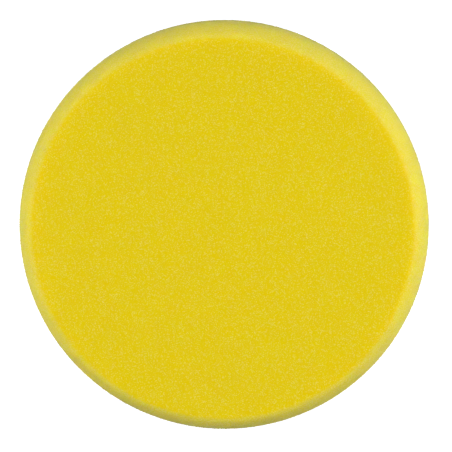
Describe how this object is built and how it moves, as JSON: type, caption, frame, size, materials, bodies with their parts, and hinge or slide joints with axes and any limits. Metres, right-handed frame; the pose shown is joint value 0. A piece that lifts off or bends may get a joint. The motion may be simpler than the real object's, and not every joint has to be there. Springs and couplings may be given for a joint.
{
  "type": "foam polishing pad",
  "caption": "Round flat-faced open-cell foam polishing pad with a rounded ground wall, a soft face edge and a loop-fabric back for a hook-faced backing plate.",
  "frame": {"origin": "centre of the loop face, which lies on the backing plate in use and on the floor at rest", "axes": "+Z along the pad's own axis, from the loop face to the working face; the pad is round, so +X and +Y are free"},
  "size_m": [0.15, 0.15, 0.027],
  "materials": {
    "foam": "matte",
    "adhesive": "satin",
    "ground_cloth": "matte",
    "loops": "matte"
  },
  "bodies": {
    "root": {"foam_body": "foam", "adhesive_film": "adhesive", "loop_ground": "ground_cloth", "loop_pile": "loops"}
  },
  "joints": []
}
